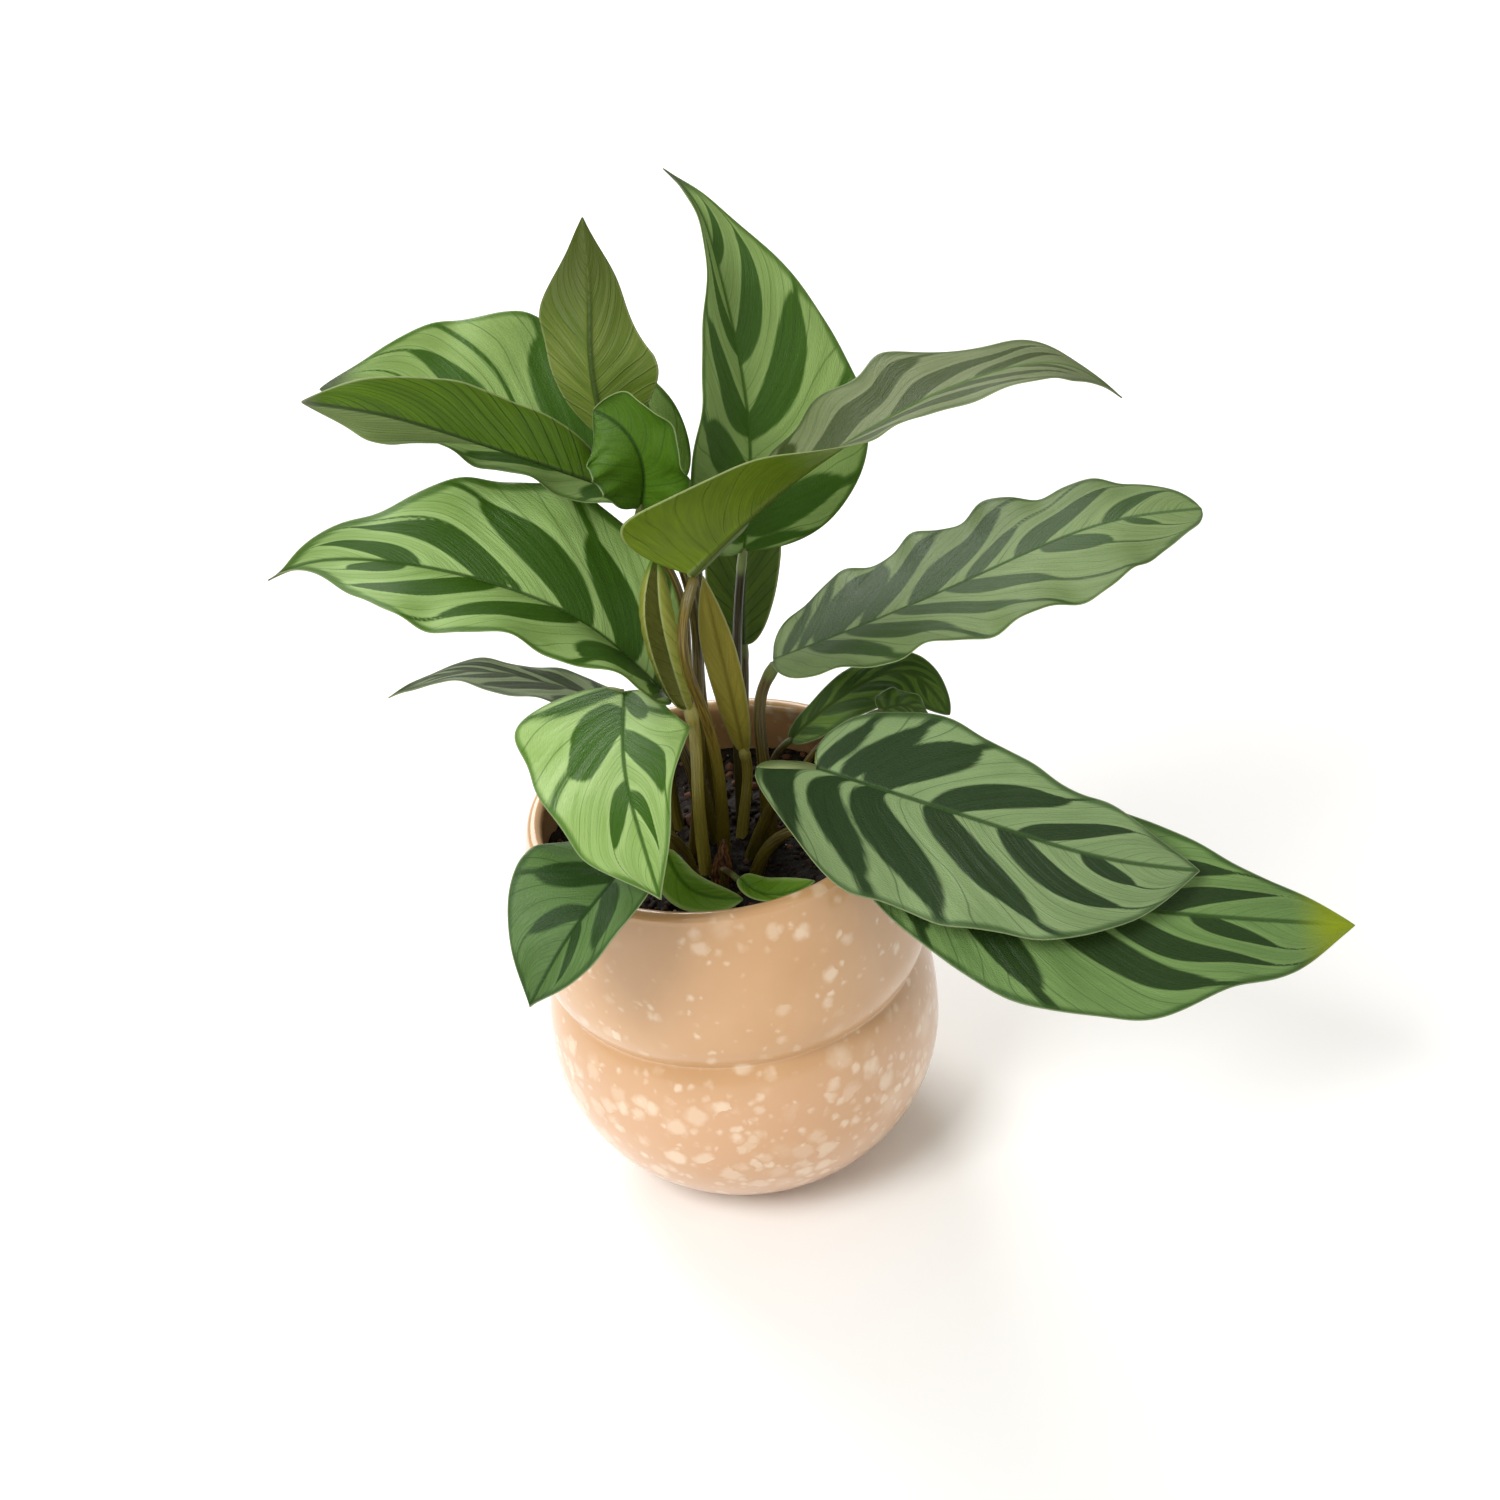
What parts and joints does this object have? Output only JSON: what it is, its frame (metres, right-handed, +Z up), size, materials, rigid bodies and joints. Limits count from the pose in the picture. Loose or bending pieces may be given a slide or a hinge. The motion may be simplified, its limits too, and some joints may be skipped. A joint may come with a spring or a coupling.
{
  "type": "potted calathea",
  "caption": "striped-leaved foliage plant on slender stalks in soil, in a two-tiered round glazed ceramic pot that stands on its flat foot",
  "frame": {"origin": "middle of the pot's flat foot, on the surface it stands on", "axes": "+Z up along the pot's axis; -Z is the way the foot faces; +X is to the right and +Y away from the side the plant is seen from"},
  "size_m": [0.2617, 0.1405, 0.2687],
  "materials": {
    "pot_glaze": "glossy beige glaze with soft pale speckles",
    "potting_soil": "damp dark crumbly potting mix",
    "leaf_striped": "satin leaf, pale grey-green with dark green feathered stripes",
    "leaf_deep": "satin leaf, deep green",
    "leaf_olive": "satin leaf, olive green underside with fine veins",
    "leaf_pale": "satin leaf, yellow olive",
    "stalk_brown": "satin stalk, dark brown-olive",
    "stalk_pale": "satin stalk, yellow olive",
    "dry_husk": "dry papery husk"
  },
  "bodies": {
    "root": {"pot": "pot_glaze", "soil": "potting_soil", "blade_top": "leaf_striped", "blade_right": "leaf_striped", "blade_left": "leaf_striped", "blade_front_left": "leaf_striped", "blade_low_left": "leaf_deep", "blade_far_left": "leaf_deep", "blade_upright": "leaf_olive", "blade_rolled": "leaf_olive", "blade_back_left": "leaf_striped", "blade_arching": "leaf_olive", "blade_front_right": "leaf_striped", "blade_low_right": "leaf_striped", "blade_small_right": "leaf_deep", "blade_small_back": "leaf_deep", "blade_young": "leaf_deep", "blade_furled": "leaf_pale", "blade_sheath": "leaf_pale", "blade_behind": "leaf_olive", "blade_rim_low": "leaf_olive", "blade_rim_cup": "leaf_olive", "stalk_top": "stalk_brown", "stalk_right": "stalk_brown", "stalk_left": "stalk_brown", "stalk_front_left": "stalk_brown", "stalk_low_left": "stalk_brown", "stalk_far_left": "stalk_brown", "stalk_upright": "stalk_brown", "stalk_rolled": "stalk_brown", "stalk_back_left": "stalk_brown", "stalk_arching": "stalk_brown", "stalk_front_right": "stalk_brown", "stalk_low_right": "stalk_brown", "stalk_small_right": "stalk_brown", "stalk_small_back": "stalk_brown", "stalk_young": "stalk_brown", "stalk_furled": "stalk_pale", "stalk_sheath": "stalk_pale", "stalk_behind": "stalk_brown", "stalk_rim_low": "stalk_brown", "stalk_rim_cup": "stalk_brown", "husk": "dry_husk"}
  },
  "joints": []
}
